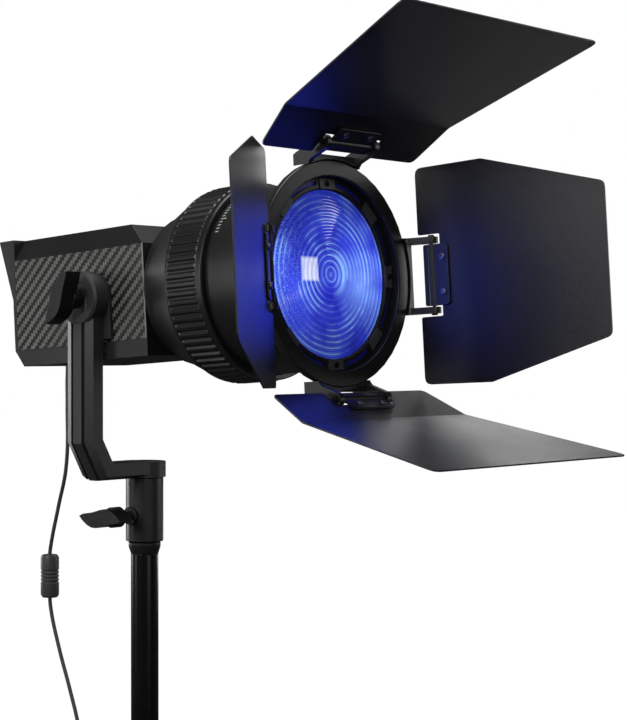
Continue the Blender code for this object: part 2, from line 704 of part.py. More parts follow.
def zoom_lens(f, axis):
    """Adapter cone with its guide tube, ribbed zoom ring, and the barrel that carries the fresnel lens."""
    rear = HOUSING_FRONT + GAP
    plate = rear + 0.0025
    cone = [
        (LIGHT_OPENING, rear), (CONE_REAR_RADIUS - 0.0008, rear), (CONE_REAR_RADIUS, rear + 0.0008),
        (CONE_REAR_RADIUS, rear + 0.004), (CONE_FRONT_RADIUS - 0.0004, CONE_FRONT - 0.001),
        (CONE_FRONT_RADIUS, CONE_FRONT), (GUIDE_OUTER_RADIUS, CONE_FRONT),
        (GUIDE_OUTER_RADIUS, GUIDE_FRONT), (GUIDE_INNER_RADIUS, GUIDE_FRONT),
        (GUIDE_INNER_RADIUS, CONE_FRONT - 0.004), (0.0490, rear + 0.006),
        (0.0490, plate), (LIGHT_OPENING, plate),
    ]
    piece("adapter_cone", turned(cone, 40, BEAM), f["black"], axis)

    piece("zoom_ring", zoom_ring_shape(), f["plastic"], axis)

    barrel = [
        (0.0597, BARREL_REAR), (BARREL_RADIUS, BARREL_REAR), (BARREL_RADIUS, BARREL_SHOULDER),
        (0.0610, BARREL_SHOULDER), (0.0610, GLASS_EDGE - GAP), (0.0580, GLASS_EDGE - GAP),
        (0.0580, 0.1520), (0.0540, 0.1520), (0.0540, 0.1500), (0.0597, 0.1480),
    ]
    piece("lens_barrel", turned(barrel, 40, BEAM), f["black"], axis)

    lens_rear, lens_front, crown = 0.1523, GLASS_EDGE - 2 * GAP, 0.0030
    steps = 5
    lens = [(0, lens_rear), (0.0577, lens_rear), (0.0577, lens_front), (GLASS_RADIUS, lens_front)]
    for k in range(steps, 0, -1):
        outer = GLASS_RADIUS * k / steps - 0.0005
        inner = GLASS_RADIUS * (k - 1) / steps
        height = lens_front + crown * (1 - (inner / GLASS_RADIUS) ** 2)
        lens.append((outer, height - 0.0012))
        if k > 1:
            lens.append((inner, height))
        else:
            lens.append((0, height))
    piece("fresnel_lens", turned(lens, 36, BEAM), f["glass"], axis)

    retainer = [
        (GLASS_RADIUS, GLASS_EDGE), (0.0627, GLASS_EDGE), (0.0627, GLASS_EDGE + 0.0020),
        (0.0560, GLASS_EDGE + 0.0024), (GLASS_RADIUS, GLASS_EDGE + 0.0016),
    ]
    ring = piece("lens_retainer", turned(retainer, 40, BEAM), f["plastic"], axis)
    for eighth in range(8):
        middle = 22.5 + 45 * eighth
        outline = arc((0, 0), 0.0610, middle - 13, middle + 13, 3)
        outline += arc((0, 0), 0.0583, middle + 13, middle - 13, 3)
        boolean(ring, prism(outline, GLASS_EDGE + 0.0008, GLASS_EDGE + 0.006, BEAM))


# ---- barn doors ---------------------------------------------------------------------------------


def barn_ring(f, axis):
    profile = [
        (0.0613, BARREL_SHOULDER + GAP), (0.0660, BARREL_SHOULDER + GAP),
        (FLANGE_RADIUS, FLANGE_FRONT - 0.0045),
        (FLANGE_RADIUS, FLANGE_FRONT - 0.0006), (FLANGE_RADIUS - 0.0006, FLANGE_FRONT),
        (FLANGE_INNER_RADIUS + 0.0006, FLANGE_FRONT), (FLANGE_INNER_RADIUS, FLANGE_FRONT - 0.0006),
        (FLANGE_INNER_RADIUS, GLASS_EDGE - GAP), (0.0613, GLASS_EDGE - GAP),
    ]
    piece("barn_ring", turned(profile, 40, BEAM), f["black"], axis)


def hinge_bracket(name, f, mount):
    """A base block on the ring's edge with two gusseted ears.

    Local axes: X along the hinge, -Y forwards, +Z outwards.
    """
    base_top, base_low = 0.0763, 0.066
    rear, front = 0.1530, 0.1655
    half = EAR_OFFSET + EAR_THICKNESS / 2
    made = piece(name, block((-half, -front, base_low), (half, -rear, base_top)), f["black"], mount)
    tip = 0.0046
    lead = math.degrees(math.atan2(HINGE_RADIUS - base_top, HINGE_FORWARD - rear))
    ear = [(rear, base_low + 0.004), (rear, base_top), (rear + 0.002, base_top + 0.0012)]
    ear += arc((HINGE_FORWARD, HINGE_RADIUS), tip, 90 + lead, -70, 8)
    ear += [(front + 0.002, base_top - 0.004), (front, base_low + 0.004)]
    for side in (-1, 1):
        x = side * EAR_OFFSET
        boolean(made, prism(ear, -x - EAR_THICKNESS / 2, -x + EAR_THICKNESS / 2, SIDE), "UNION")
    boolean(made, rod(FLANGE_RADIUS + GAP, rear - EPS, FLANGE_FRONT + 0.004, 64, BEAM))
    hole_at = Matrix.Translation((0, -HINGE_FORWARD, HINGE_RADIUS)) @ ACROSS
    boolean(made, rod(PIN_RADIUS + GAP, -half - EPS, half + EPS, 12, hole_at))
    window = block((-0.016, -rear - 0.003, base_top - 0.0022), (0.016, -rear + EPS, base_top + EPS))
    boolean(made, window)
    return made


def hinge_pin(name, f, mount):
    reach = EAR_OFFSET + EAR_THICKNESS / 2 + GAP
    profile = [
        (0, -reach - 0.0010), (0.0020, -reach - 0.0010), (0.0022, -reach), (PIN_RADIUS, -reach),
        (PIN_RADIUS, reach), (0.0022, reach), (0.0020, reach + 0.0010), (0, reach + 0.0010),
    ]
    piece(name, turned(profile, 12, ACROSS), f["steel"], mount, (0, -HINGE_FORWARD, HINGE_RADIUS))


def leaf_outline(kind):
    """Corners (x, forward, radius) of a door leaf laid flat, from the left notch round.

    The hinge line is at forward 0.
    """
    if kind == "wide":
        near, fold, far = (0.0748, -0.0095), (0.0814, 0.0247), (0.0996, 0.0247 + 0.1157)
    else:
        near, fold, far = (0.0732, -0.0105), (0.0741, 0.0407), (0.0492, 0.1292)
    notch = EAR_OFFSET + EAR_THICKNESS / 2 + 0.0020
    half = [
        (notch, 0.0062, 0.0008), (notch, near[1], 0.0015), (near[0], near[1], 0.005),
        (fold[0], fold[1], 0), (far[0], far[1], 0.005),
    ]
    return half + [(-x, y, r) for x, y, r in reversed(half)], fold[1]


def leaf(name, kind, f, hinge):
    """A bent or flat sheet. Local axes: X along the hinge, -Y along the leaf, +Z to its outer side."""
    corners, fold = leaf_outline(kind)
    outline = rounded(corners)
    shape = bmesh.new()
    verts = [shape.verts.new((x, -forward, GAP)) for x, forward in outline]
    if kind == "wide":
        near = [v for v in verts if -v.co.y <= fold + 1e-7]
        far = [v for v in verts if -v.co.y >= fold - 1e-7]
        shape.faces.new(near)
        shape.faces.new(far)
        beyond = [v for v in far if -v.co.y > fold + 1e-7]
        line = Matrix.Translation((0, -fold, GAP))
        swing = line @ Matrix.Rotation(WIDE_BEND, 4, "X") @ line.inverted()
        bmesh.ops.transform(shape, matrix=swing, verts=beyond)
    else:
        shape.faces.new(verts)
    bmesh.ops.recalc_face_normals(shape, faces=shape.faces)
    if sum(face.normal.z for face in shape.faces) > 0:
        bmesh.ops.reverse_faces(shape, faces=shape.faces)
    bmesh.ops.solidify(shape, geom=shape.faces, thickness=SHEET)
    return piece(name, shape, f["sheet"], hinge)


def hinge_plate(name, f, hinge):
    """The rolled knuckle round the pin and the plate screwed to the leaf's inner face."""
    half = EAR_OFFSET - EAR_THICKNESS / 2 - 0.0008
    plate_outline = rounded(
        [(-half, -0.006, 0.0015), (half, -0.006, 0.0015), (half, 0.013, 0.003), (-half, 0.013, 0.003)]
    )
    made = piece(name, prism([(x, -y) for x, y in plate_outline], -0.0014, 0), f["black"], hinge)
    boolean(made, rod(0.0027, -half, half, 16, Matrix.Translation((0, 0, -0.0002)) @ ACROSS), "UNION")
    boolean(made, rod(PIN_RADIUS + GAP, -half - EPS, half + EPS, 12, ACROSS))
    return made


def barn_doors(f, axis):
    barn_ring(f, axis)
    for label, (turn, opening, kind) in DOORS.items():
        mount = empty(f"hinge_mount_{label}", axis, (0, 0, 0), (0, math.radians(turn), 0))
        hinge_bracket(f"hinge_bracket_{label}", f, mount)
        hinge_pin(f"hinge_pin_{label}", f, mount)
        # opening turns the leaf's free edge outwards
        hinge = empty(
            f"hinge_axis_{label}", mount, (0, -HINGE_FORWARD, HINGE_RADIUS), (-math.radians(opening), 0, 0)
        )
        leaf(f"door_{label}", kind, f, hinge)
        hinge_plate(f"hinge_plate_{label}", f, hinge)


# ---- power cable --------------------------------------------------------------------------------


def cable_shape(points, radius, steps=8, spans=3):
    """A round cable along a smooth curve through the points."""
    points = [Vector(p) for p in points]
    line = []
    padded = [points[0] * 2 - points[1]] + points + [points[-1] * 2 - points[-2]]
    for a, b, c, d in zip(padded, padded[1:], padded[2:], padded[3:]):
        for k in range(spans):
            t = k / spans
            curve = (2 * a - 5 * b + 4 * c - d) * t**2 + (3 * b - a - 3 * c + d) * t**3
            line.append(0.5 * (2 * b + (c - a) * t + curve))
    line.append(points[-1])
    shape = bmesh.new()
    rings = []
    for i, here in enumerate(line):
        along = (line[min(i + 1, len(line) - 1)] - line[max(i - 1, 0)]).normalized()
        side = Vector((1, 0, 0))
        up = along.cross(side).normalized()
        side = up.cross(along).normalized()
        ring = []
        for k in range(steps):
            turn = 2 * math.pi * k / steps
            ring.append(shape.verts.new(here + radius * (math.cos(turn) * side + math.sin(turn) * up)))
        rings.append(ring)
    for ring, following in zip(rings, rings[1:]):
        for k in range(steps):
            n = (k + 1) % steps
            shape.faces.new([ring[k], ring[n], following[n], following[k]])
    shape.faces.new(rings[0])
    shape.faces.new(rings[-1])
    return shape


def power_cable(f):
    """The lead from the DC plug, hanging behind the yoke.

    It carries a ferrite bead and ends in an inline coupler. Its upper end stops just short of the plug, outside the
    circle that the rear hood's edge sweeps as the head tilts.
    """
    x = HEAD_X + 0.036
    radius = 0.0015
    path = [
        (x, 0.1085, PIVOT_Z - 0.0212),
        (x, 0.1130, PIVOT_Z - 0.0216),
        (x, 0.1190, PIVOT_Z - 0.0252),
        (x, 0.1235, PIVOT_Z - 0.0355),
        (x, 0.1255, PIVOT_Z - 0.0560),
        (x, 0.1255, 0.2847),
        (x, 0.1270, 0.2347),
        (x, 0.1360, 0.2037),
        (x, 0.1445, 0.1747),
        (x, 0.1460, 0.1667),
        (x, 0.1460, 0.1327),
        (x, 0.1450, 0.1247),
        (x, 0.1360, 0.0967),
        (x, 0.1230, 0.0647),
        (x, 0.1140, 0.0407),
        (x, 0.1110, 0.0287),
    ]
    piece("power_cable", cable_shape(path, radius), f["rubber"])
    bead_top, bead_low, inner = 0.1662, 0.1332, radius + GAP
    bead = [(inner, bead_low), (0.0058, bead_low), (0.0071, bead_low + 0.002)]
    for k in range(4):
        notch = bead_low + 0.0115 + 0.0028 * k
        bead += [(0.0071, notch), (0.0065, notch + 0.0003)]
        bead += [(0.0065, notch + 0.0013), (0.0071, notch + 0.0016)]
    bead += [(0.0071, bead_top - 0.002), (0.0058, bead_top), (inner, bead_top)]
    piece("ferrite_bead", turned(bead, 16), f["plastic"], None, (x, 0.1460, 0))
    end = [
        (0, 0.004), (0.0040, 0.004), (0.0046, 0.006), (0.0046, 0.022), (0.0028, 0.0265), (0, 0.0265),
    ]
    coupler = piece("cable_coupler", turned(end, 16), f["plastic"], None, (x, 0.1104, 0.0012))
    return coupler


# ---- the whole lamp -----------------------------------------------------------------------------


def main():
    clear_scene()
    f = finishes()
    stand_post(f)
    yoke(f)
    # the head's axes: X across, -Y along the beam, Z up
    offset = Matrix.Rotation(-HEAD_TILT, 3, "X") @ Vector((0, -HEAD_FORWARD, -HEAD_DROP))
    head = empty("head_axes", None, (HEAD_X, offset.y, PIVOT_Z + offset.z), (-HEAD_TILT, 0, 0))
    cap = housing(f, head)
    controls(f, head, cap)
    light_engine(f, head)
    axis = empty("optical_axis", head, (0, 0, AXIS_HEIGHT))
    zoom_lens(f, axis)
    barn_doors(f, axis)
    power_cable(f)


main()
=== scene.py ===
"""Looks of a fresnel spotlight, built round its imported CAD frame. Lengths are in metres."""

import math

import bmesh
import bpy
from mathutils import Matrix, Vector


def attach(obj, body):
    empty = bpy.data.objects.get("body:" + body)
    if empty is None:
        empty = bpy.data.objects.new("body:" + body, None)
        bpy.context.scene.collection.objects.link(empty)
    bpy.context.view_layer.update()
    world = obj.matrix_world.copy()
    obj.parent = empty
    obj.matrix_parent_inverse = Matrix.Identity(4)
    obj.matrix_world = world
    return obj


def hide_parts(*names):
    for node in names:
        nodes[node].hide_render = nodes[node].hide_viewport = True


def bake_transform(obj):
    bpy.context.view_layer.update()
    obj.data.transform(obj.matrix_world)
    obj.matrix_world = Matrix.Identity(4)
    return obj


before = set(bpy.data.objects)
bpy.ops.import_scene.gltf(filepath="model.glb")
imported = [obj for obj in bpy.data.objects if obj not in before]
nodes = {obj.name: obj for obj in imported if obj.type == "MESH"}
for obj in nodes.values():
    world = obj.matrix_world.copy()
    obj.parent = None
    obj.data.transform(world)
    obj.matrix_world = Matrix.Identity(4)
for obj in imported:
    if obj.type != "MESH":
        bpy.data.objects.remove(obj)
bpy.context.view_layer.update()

# the head's own axes: X across, -Y along the beam, Z up
HEAD_X = 0.0022
PIVOT_Z = 0.360
HEAD_FORWARD = 0.0140
HEAD_DROP = 0.0022
HEAD_TILT = math.radians(3.7)
AXIS_HEIGHT = 0.005

# the lens and doors, measured from the optical axis or along the beam
GLASS_RADIUS = 0.055
GLASS_EDGE = 0.156
LENS_SCREW_RADIUS = 0.0589
HINGE_RADIUS = 0.0815
HINGE_FORWARD = 0.1785
PLATE_SCREW_SPACING = 0.0235
# degrees: how far each door stands open at rest, and where its hinge sits round the ring
OPENING = {"top": 36.5, "right": 6.5, "bottom": 31.0, "left": 55.5}
TURN = {"top": 0, "right": 90, "bottom": 180, "left": 270}

CAMERA_AT = (-0.9056, -0.9496, 0.3273)
CAMERA_AZIMUTH = math.radians(48.86)
CAMERA_PITCH = math.radians(-0.42)
CAMERA_LENS = 92.5

HEAD = (
    Matrix.Translation((HEAD_X, 0, PIVOT_Z))
    @ Matrix.Rotation(-HEAD_TILT, 4, "X")
    @ Matrix.Translation((0, -HEAD_FORWARD, -HEAD_DROP))
)
AXIS = HEAD @ Matrix.Translation((0, 0, AXIS_HEIGHT))
# height in a turned shape becomes distance along the beam
BEAM = Matrix.Rotation(math.radians(90), 4, "X")


# ---- materials ----------------------------------------------------------------------------------


class Nodes:
    """Short names for building one material's node tree."""

    def __init__(self, name):
        self.material = bpy.data.materials.new(name)
        self.material.use_nodes = True
        self.tree = self.material.node_tree
        self.shader = self.tree.nodes["Principled BSDF"]

    def add(self, kind, **values):
        node = self.tree.nodes.new(kind)
        for key, value in values.items():
            if key in node.inputs:
                node.inputs[key].default_value = value
            else:
                setattr(node, key, value)
        return node

    def link(self, source, target):
        self.tree.links.new(source, target)

    def position(self):
        return self.add("ShaderNodeTexCoord").outputs["Object"]

    def math(self, operation, a, b=None):
        node = self.add("ShaderNodeMath", operation=operation)
        for slot, value in zip(node.inputs, (a, b)):
            if value is None:
                continue
            if isinstance(value, (int, float)):
                slot.default_value = value
            else:
                self.link(value, slot)
        return node.outputs[0]

    def noise(self, scale, detail=3.0, vector=None):
        node = self.add("ShaderNodeTexNoise", Scale=scale, Detail=detail)
        self.link(vector or self.position(), node.inputs["Vector"])
        return node.outputs["Fac"]

    def ramp(self, factor, low, high, start=0.3, end=0.7):
        node = self.add("ShaderNodeMapRange")
        self.link(factor, node.inputs["Value"])
        for key, value in (("From Min", start), ("From Max", end), ("To Min", low), ("To Max", high)):
            node.inputs[key].default_value = value
        return node.outputs["Result"]

    def mix(self, factor, dark, light):
        node = self.add("ShaderNodeMix", data_type="RGBA")
        self.link(factor, node.inputs["Factor"])
        for socket, colour in ((node.inputs[6], dark), (node.inputs[7], light)):
            if isinstance(colour, tuple):
                socket.default_value = (*colour, 1)
            else:
                self.link(colour, socket)
        return node.outputs[2]

    def bump(self, height, distance, strength=1.0):
        node = self.add("ShaderNodeBump", Distance=distance, Strength=strength)
        self.link(height, node.inputs["Height"])
        self.link(node.outputs["Normal"], self.shader.inputs["Normal"])

    def edges(self):
        """1 on a corner, where edges are painted paler, and 0 on a flat, whatever the size of the mesh's
        faces.
        """
        rounded = self.add("ShaderNodeBevel", samples=4, Radius=0.0007)
        flat = self.add("ShaderNodeNewGeometry")
        turn = self.add("ShaderNodeVectorMath", operation="DOT_PRODUCT")
        self.link(rounded.outputs["Normal"], turn.inputs[0])
        self.link(flat.outputs["Normal"], turn.inputs[1])
        return self.ramp(turn.outputs["Value"], 1.0, 0.0, 0.80, 0.98)


def coated(name, colour, pale_edge_colour, roughness, grain, grain_depth):
    """Paint or moulded plastic: fine grain, uneven sheen, faint dust and paler edges."""
    n = Nodes(name)
    cloud = n.noise(22.0, 5.0)
    darker = tuple(c * 0.93 for c in colour)
    lighter = tuple(c * 1.08 for c in colour)
    tone = n.mix(n.ramp(cloud, 0.0, 1.0), darker, lighter)
    speckle = n.noise(grain, 2.0)
    # paler edges: rubbed corners, and on the zoom ring also painted highlights along the rib edges
    pale_edges = n.math("MULTIPLY", n.edges(), n.ramp(n.noise(90.0), 0.10, 0.55))
    n.link(n.mix(pale_edges, tone, pale_edge_colour), n.shader.inputs["Base Color"])
    n.link(n.ramp(cloud, roughness - 0.02, roughness + 0.03), n.shader.inputs["Roughness"])
    n.bump(speckle, grain_depth)
    return n.material


TOW_WIDTH = 0.0022


def carbon_weave(name):
    """Twill: warp and weft tows that step one tow to the side at each row, so pale tows climb in stairs."""
    n = Nodes(name)
    where = n.add("ShaderNodeSeparateXYZ")
    n.link(n.position(), where.inputs[0])
    along = n.math("DIVIDE", where.outputs["Y"], TOW_WIDTH)
    up = n.math("DIVIDE", where.outputs["Z"], TOW_WIDTH)
    column = n.math("FLOOR", along)
    row = n.math("FLOOR", up)
    step = n.math("MODULO", n.math("ADD", n.math("ADD", column, row), 4000), 4)
    warp = n.math("LESS_THAN", step, 1.5)
    across = n.math("ABSOLUTE", n.math("SUBTRACT", n.math("FRACT", along), 0.5))
    upward = n.math("ABSOLUTE", n.math("SUBTRACT", n.math("FRACT", up), 0.5))
    dome_warp = n.math("SUBTRACT", 1.0, n.math("POWER", n.math("MULTIPLY", across, 2.0), 2.0))
    dome_weft = n.math("SUBTRACT", 1.0, n.math("POWER", n.math("MULTIPLY", upward, 2.0), 2.0))
    blend = n.add("ShaderNodeMix", data_type="FLOAT")
    n.link(warp, blend.inputs["Factor"])
    n.link(dome_weft, blend.inputs[2])
    n.link(dome_warp, blend.inputs[3])
    dome = blend.outputs[0]
    uneven = n.ramp(n.noise(70.0, 4.0), 0.7, 1.1)
    pale = n.math("MULTIPLY", n.math("MULTIPLY", warp, n.ramp(dome, 0.10, 1.0, 0.0, 0.75)), uneven)
    n.link(n.mix(pale, (0.005, 0.0045, 0.0045), (0.135, 0.128, 0.115)), n.shader.inputs["Base Color"])
    n.link(n.ramp(dome, 0.42, 0.28, 0.0, 1.0), n.shader.inputs["Roughness"])
    n.shader.inputs["Coat Weight"].default_value = 0.35
    n.shader.inputs["Coat Roughness"].default_value = 0.18
    n.bump(dome, 0.00010)
    return n.material


def metal(name, colour, roughness, brush):
    n = Nodes(name)
    lines = n.noise(brush, 6.0)
    n.link(n.mix(lines, tuple(c * 0.7 for c in colour), colour), n.shader.inputs["Base Color"])
    n.link(n.ramp(lines, roughness - 0.08, roughness + 0.10), n.shader.inputs["Roughness"])
    n.shader.inputs["Metallic"].default_value = 1.0
    n.bump(lines, 0.00002)
    return n.material


def along_beam(n):
    """(distance from the optical axis, across, up) of a shading point."""
    where = n.add("ShaderNodeSeparateXYZ")
    n.link(n.position(), where.inputs[0])
    centre = AXIS.translation
    x = n.math("SUBTRACT", where.outputs["X"], centre.x)
    y = n.math("SUBTRACT", where.outputs["Y"], centre.y)
    z = n.math("SUBTRACT", where.outputs["Z"], centre.z)
    y_share = n.math("MULTIPLY", y, math.sin(HEAD_TILT))
    z_share = n.math("MULTIPLY", z, math.cos(HEAD_TILT))
    up = n.math("ADD", y_share, z_share)
    squared = n.math("ADD", n.math("MULTIPLY", x, x), n.math("MULTIPLY", up, up))
    return n.math("SQRT", squared), x, up


def ring_lines(n, radius, spacing, sharpness):
    """Bright rings round the optical axis; a higher sharpness makes them thinner."""
    wave = n.math("SINE", n.math("DIVIDE", radius, spacing))
    return n.math("POWER", n.ramp(wave, 0.0, 1.0, -1.0, 1.0), sharpness)


def lit_glass(name):
    """Stepped glass with the lamp's light behind it: blue with fine uneven rings, and a painted reflection
    of a softbox as a pale box-shaped patch.
    """
    n = Nodes(name)
    radius, x, up = along_beam(n)
    wobble = n.math("MULTIPLY", n.math("SUBTRACT", n.noise(34.0, 4.0), 0.5), 0.0020)
    uneven = n.math("ADD", radius, wobble)
    coarse = ring_lines(n, uneven, 0.00062, 5.0)
    fine = ring_lines(n, radius, 0.00021, 3.0)
    broken = n.ramp(n.noise(48.0, 5.0), 0.10, 1.0, 0.42, 0.60)
    streaks = n.math("MULTIPLY", n.math("ADD", coarse, n.math("MULTIPLY", fine, 0.40)), broken)
    # grainy glints on the side away from the beam's bright half
    away = n.ramp(x, 1.0, 0.0, -0.046, -0.018)
    glints = n.math("MULTIPLY", n.ramp(n.noise(1100.0, 2.0), 0.0, 0.9, 0.52, 0.70), away)
    # a bright crescent round the middle and a paler patch beyond it
    near_crescent = n.ramp(n.math("ABSOLUTE", n.math("SUBTRACT", radius, 0.0132)), 1.0, 0.0, 0.0, 0.0030)
    crescent = n.math("MULTIPLY", near_crescent, n.ramp(x, 0.0, 0.75, 0.001, 0.0115))
    patch_x = n.math("SUBTRACT", x, 0.030)
    patch_up = n.math("ADD", up, 0.008)
    x_squared = n.math("MULTIPLY", patch_x, patch_x)
    up_squared = n.math("MULTIPLY", patch_up, patch_up)
    patch = n.math("SQRT", n.math("ADD", x_squared, up_squared))
    pale_patch = n.math("MULTIPLY", n.math("POWER", n.ramp(patch, 1.0, 0.0, 0.0, 0.030), 1.3), 0.75)
    pale = n.math("ADD", n.math("ADD", streaks, glints), n.math("ADD", crescent, pale_patch))
    cloud = n.mix(n.ramp(n.noise(26.0, 3.0), 0.0, 1.0), (0.012, 0.014, 0.42), (0.045, 0.070, 0.86))
    glow = n.mix(n.math("MINIMUM", n.math("MULTIPLY", pale, 0.70), 1.0), cloud, (0.27, 0.50, 0.98))
    # painted reflection: a pale softbox-shaped patch beside the middle of the glass, mixed into its glow
    beside = n.math("ABSOLUTE", n.math("ADD", x, 0.0200))
    above = n.math("ABSOLUTE", n.math("SUBTRACT", up, 0.003))
    painted_reflection_outline = n.ramp(n.math("MAXIMUM", beside, above), 1.0, 0.0, 0.0064, 0.0084)
    painted_reflection = n.math("MULTIPLY", painted_reflection_outline, n.ramp(streaks, 0.62, 1.0, 0.0, 0.5))
    n.link(n.mix(painted_reflection, glow, (0.74, 0.80, 1.0)), n.shader.inputs["Emission Color"])
    # dimmer towards the top and bottom of the glass
    level = n.ramp(n.math("ABSOLUTE", up), 1.08, 0.44, 0.010, 0.046)
    n.link(level, n.shader.inputs["Emission Strength"])
    n.shader.inputs["Base Color"].default_value = (0.008, 0.010, 0.10, 1)
    n.shader.inputs["Roughness"].default_value = 0.10
    n.shader.inputs["Coat Weight"].default_value = 0.4
    n.shader.inputs["Coat Roughness"].default_value = 0.05
    n.bump(streaks, 0.00010, 0.4)
    return n.material


def glowing(name, colour, strength):
    n = Nodes(name)
    n.link(n.mix(n.noise(300.0), tuple(c * 0.6 for c in colour), colour), n.shader.inputs["Emission Color"])
    n.shader.inputs["Emission Strength"].default_value = strength
    n.shader.inputs["Base Color"].default_value = (*colour, 1)
    return n.material


def display(name):
    """Dark gloss window with a dim backlight and no characters."""
    n = Nodes(name)
    n.shader.inputs["Base Color"].default_value = (0.006, 0.008, 0.012, 1)
    n.shader.inputs["Roughness"].default_value = 0.06
    n.shader.inputs["Coat Weight"].default_value = 0.8
    n.link(n.ramp(n.noise(40.0), 0.0, 0.03), n.shader.inputs["Emission Strength"])
    n.shader.inputs["Emission Color"].default_value = (0.15, 0.35, 0.6, 1)
    n.bump(n.noise(1200.0), 0.000008)
    return n.material


def circuit(name):
    n = Nodes(name)
    tracks = n.add("ShaderNodeTexVoronoi", Scale=420.0, distance="MANHATTAN")
    n.link(n.position(), tracks.inputs["Vector"])
    factor = n.ramp(tracks.outputs["Distance"], 0.0, 1.0, 0.2, 0.5)
    n.link(n.mix(factor, (0.01, 0.06, 0.03), (0.02, 0.14, 0.06)), n.shader.inputs["Base Color"])
    n.shader.inputs["Roughness"].default_value = 0.35
    n.bump(factor, 0.00005)
    return n.material


finish = {
    "satin": coated("satin_black_paint", (0.011, 0.011, 0.0115), (0.08, 0.08, 0.08), 0.36, 1900.0, 0.00004),
    "arm": coated("arm_paint", (0.020, 0.0205, 0.0205), (0.10, 0.10, 0.10), 0.44, 1500.0, 0.00005),
    "plastic": coated("moulded_plastic", (0.011, 0.011, 0.0115), (0.05, 0.05, 0.05), 0.46, 2600.0, 0.00005),
    # the zoom ring's paler edge colour is raised so the rib edges carry painted highlights, on top of rubbed
    # corners
    "ring": coated("zoom_ring_plastic", (0.011, 0.0115, 0.0115), (0.16, 0.16, 0.16), 0.30, 2200.0, 0.00004),
    "door": coated("door_powder_coat", (0.0050, 0.0050, 0.0055), (0.05, 0.05, 0.052), 0.34, 3200.0, 0.00009),
    "tube": coated("stand_tube_gloss", (0.0025, 0.0025, 0.0027), (0.03, 0.03, 0.03), 0.20, 2600.0, 0.00001),
    "bead": coated("bead_plastic", (0.042, 0.042, 0.043), (0.10, 0.10, 0.10), 0.42, 2000.0, 0.00004),
    "knob": coated("knob_plastic", (0.0065, 0.0070, 0.0075), (0.05, 0.05, 0.05), 0.30, 2400.0, 0.00003),
    "rubber": coated("cable_rubber", (0.040, 0.040, 0.041), (0.07, 0.07, 0.07), 0.55, 3000.0, 0.00004),
    "weave": carbon_weave("woven_carbon"),
    "steel": metal("turned_steel", (0.20, 0.20, 0.205), 0.34, 900.0),
    "dark_steel": metal("blackened_steel", (0.05, 0.05, 0.053), 0.36, 900.0),
    "alloy": metal("extruded_alloy", (0.52, 0.53, 0.54), 0.38, 400.0),
    "glass": lit_glass("stepped_glass"),
    "emitter": glowing("lit_emitter", (0.10, 0.16, 1.0), 4.0),
    "slot_glow": glowing("slot_glow", (0.006, 0.009, 0.17), 0.16),
    "tab": coated("lens_tab_paint", (0.075, 0.075, 0.080), (0.16, 0.16, 0.16), 0.46, 1600.0, 0.00003),
    "mark": coated("scale_print", (0.55, 0.55, 0.54), (0.7, 0.7, 0.7), 0.55, 1800.0, 0.00001),
    # pale grey that paints the highlight along the housing's chamfered front edge
    "edge_highlight_paint": coated("front_edge_highlight_paint", (0.20, 0.20, 0.195), (0.35, 0.35, 0.34), 0.34, 1400.0, 0.00002),
    "screen": display("display_glass"),
    "board": circuit("circuit_board"),
}

wears = {
    "satin": ["spigot_stud", "yoke_socket", "housing_shell", "rear_cap", "lens_barrel", "barn_ring"],
    "arm": ["yoke_arm"],
    "ring": ["zoom_ring"],
    "knob": ["socket_knob", "tilt_knob"],
    "tube": ["post_tube"],
    "bead": ["ferrite_bead", "cable_coupler"],
    "plastic": [
        "post_end_plug", "tilt_bracket", "mount_latch", "push_button_1",
        "push_button_2", "push_button_3", "dimmer_dial", "colour_dial", "power_switch", "dc_socket",
        "fan_frame", "fan_rotor", "lens_retainer", "adapter_cone",
    ],
    "rubber": ["power_cable", "dc_plug"],
    "weave": ["side_panel_left", "side_panel_right"],
    "steel": ["socket_knob_stud", "tilt_knob_stud", "foot_screw"],
    "alloy": ["heat_sink", "led_board"],
    "glass": ["fresnel_lens"],
    "emitter": ["led_emitter"],
    "screen": ["display_window"],
    "board": ["driver_board"],
}
for side in TURN:
    wears["satin"] += [f"hinge_bracket_{side}", f"hinge_plate_{side}"]
    wears.setdefault("dark_steel", []).append(f"hinge_pin_{side}")
    wears.setdefault("door", []).append(f"door_{side}")

for kind, names in wears.items():
    for name in names:
        mesh = nodes[name].data
        mesh.materials.clear()
        mesh.materials.append(finish[kind])


# ---- shape helpers ------------------------------------------------------------------------------


def soften(name, width, angle=28.0):
    """Rounds a CAD node's sharp edges and shades its curved faces smoothly.

    The node comes as separate triangles, so they are joined first, and flat ones merged.
    """
    node = nodes[name]
    weld = node.modifiers.new("weld", "WELD")
    weld.merge_threshold = 0.000002
    flat = node.modifiers.new("merge_flat", "DECIMATE")
    flat.decimate_type = "DISSOLVE"
    flat.angle_limit = math.radians(0.4)
    bevel = node.modifiers.new("edge_round", "BEVEL")
    bevel.width = width
    bevel.segments = 2
    bevel.limit_method = "ANGLE"
    bevel.angle_limit = math.radians(angle)
    shading = node.modifiers.new("shading", "WEIGHTED_NORMAL")
    shading.mode = "FACE_AREA_WITH_ANGLE"
    for face in node.data.polygons:
        face.use_smooth = True


def piece(name, shape, matrix, material, body):
    """A visible piece made from a shape, riding on a CAD body."""
    mesh = bpy.data.meshes.new(name)
    shape.transform(matrix)
    bmesh.ops.recalc_face_normals(shape, faces=shape.faces)
    shape.to_mesh(mesh)
    shape.free()
    made = bpy.data.objects.new(name, mesh)
    bpy.context.scene.collection.objects.link(made)
    mesh.materials.append(finish[material])
    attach(made, body)
    return made


def smooth_by_angle(made, angle=35.0):
    for face in made.data.polygons:
        face.use_smooth = True
    made.data.set_sharp_from_angle(angle=math.radians(angle))


